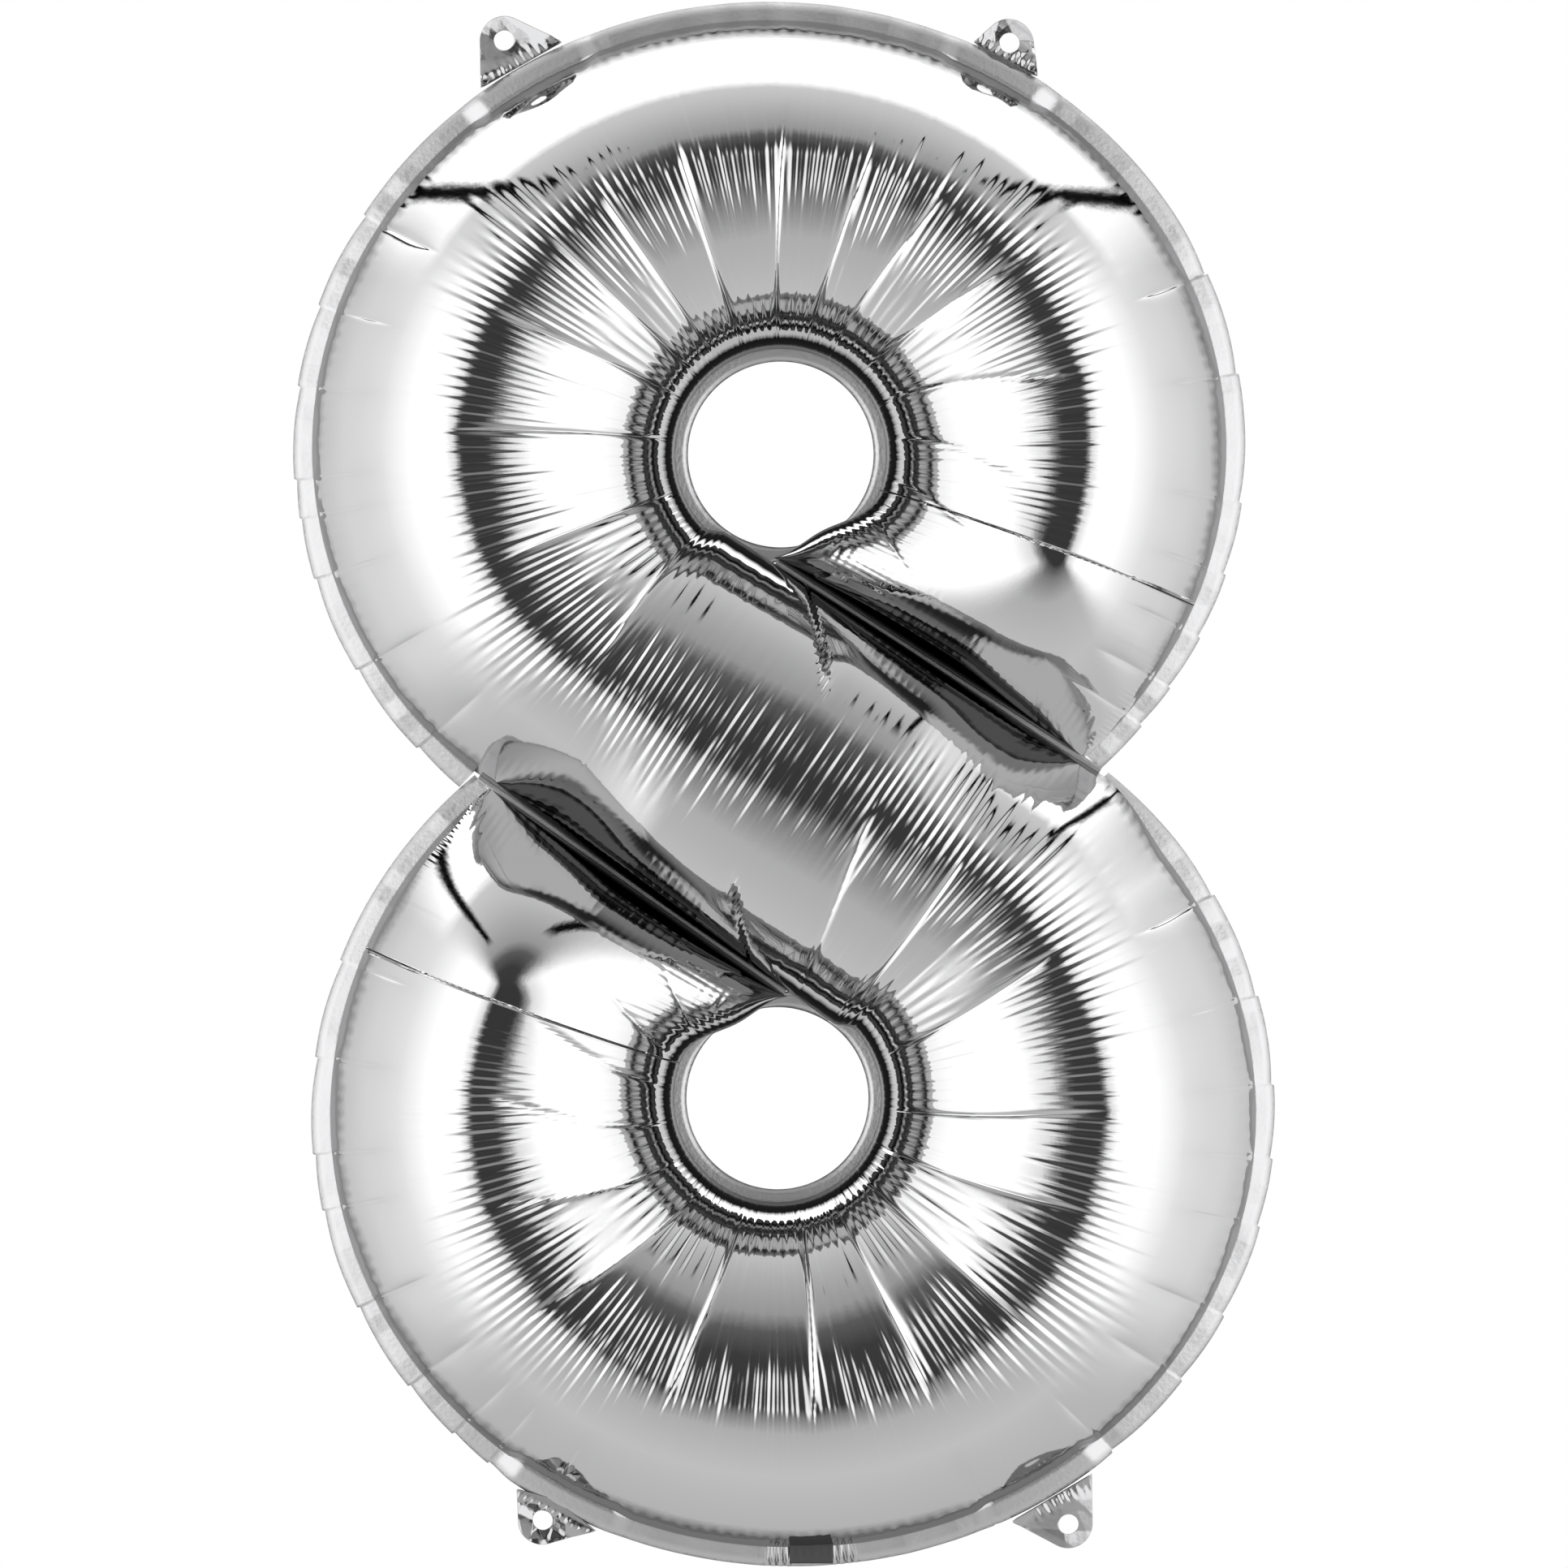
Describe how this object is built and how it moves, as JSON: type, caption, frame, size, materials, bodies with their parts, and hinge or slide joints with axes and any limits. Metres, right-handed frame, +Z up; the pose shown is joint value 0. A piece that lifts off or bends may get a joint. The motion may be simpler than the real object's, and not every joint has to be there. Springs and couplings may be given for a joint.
{
  "type": "foil number balloon",
  "caption": "Inflated silver foil number balloon in the shape of an 8, one S-shaped tube with two ring holes, flat seal bands, punched hanging tabs and a self-sealing inlet.",
  "frame": {"origin": "middle of the balloon's bounding box, on the seam plane", "axes": "+Z up the digit, +X to the viewer's right, -Y towards the viewer"},
  "size_m": [0.5399, 0.1774, 0.86],
  "materials": {
    "silver_foil": "mirror-bright aluminised film",
    "seal_foil": "aluminised film, flattened and slightly dulled by the heat seal",
    "valve_film": "dark grey translucent-looking film"
  },
  "bodies": {
    "balloon": {"front_panel": "silver_foil", "back_panel": "silver_foil", "outer_seam": "seal_foil", "upper_hole_seam": "seal_foil", "lower_hole_seam": "seal_foil", "upper_waist_seam": "seal_foil", "lower_waist_seam": "seal_foil", "inlet_mouth": "valve_film"},
    "tab_top_left": {"hang_tab_top_left": "seal_foil"},
    "tab_top_right": {"hang_tab_top_right": "seal_foil"},
    "tab_bottom_left": {"hang_tab_bottom_left": "seal_foil"},
    "tab_bottom_right": {"hang_tab_bottom_right": "seal_foil"},
    "valve_front": {"valve_film_front": "valve_film"},
    "valve_back": {"valve_film_back": "valve_film"}
  },
  "joints": [
    {"name": "tab_fold_top_left", "type": "hinge", "parent": "balloon", "child": "tab_top_left", "pos_m": [-0.14412, 0, 0.39503], "axis": [0.8696, 0, 0.4937], "range_deg": [-80, 80], "stiffness_Nm_per_rad": 0.0002},
    {"name": "tab_fold_top_right", "type": "hinge", "parent": "balloon", "child": "tab_top_right", "pos_m": [0.12179, 0, 0.39829], "axis": [0.8819, 0, -0.4715], "range_deg": [-80, 80], "stiffness_Nm_per_rad": 0.0002},
    {"name": "tab_fold_bottom_left", "type": "hinge", "parent": "balloon", "child": "tab_bottom_left", "pos_m": [-0.12497, 0, -0.39875], "axis": [-0.885, 0, 0.4655], "range_deg": [-80, 80], "stiffness_Nm_per_rad": 0.0002},
    {"name": "tab_fold_bottom_right", "type": "hinge", "parent": "balloon", "child": "tab_bottom_right", "pos_m": [0.14691, 0, -0.39208], "axis": [-0.8603, 0, -0.5098], "range_deg": [-80, 80], "stiffness_Nm_per_rad": 0.0002},
    {"name": "valve_open_front", "type": "hinge", "parent": "balloon", "child": "valve_front", "pos_m": [0.015, -0.00055, -0.404], "axis": [1, 0, 0], "range_deg": [0, 8], "stiffness_Nm_per_rad": 0.0006},
    {"name": "valve_open_back", "type": "hinge", "parent": "balloon", "child": "valve_back", "pos_m": [0.015, 0.00055, -0.404], "axis": [1, 0, 0], "range_deg": [-8, 0], "stiffness_Nm_per_rad": 0.0006}
  ],
  "couplings": [
    {"joint": "valve_open_back", "follows": "valve_open_front", "ratio": -1}
  ]
}
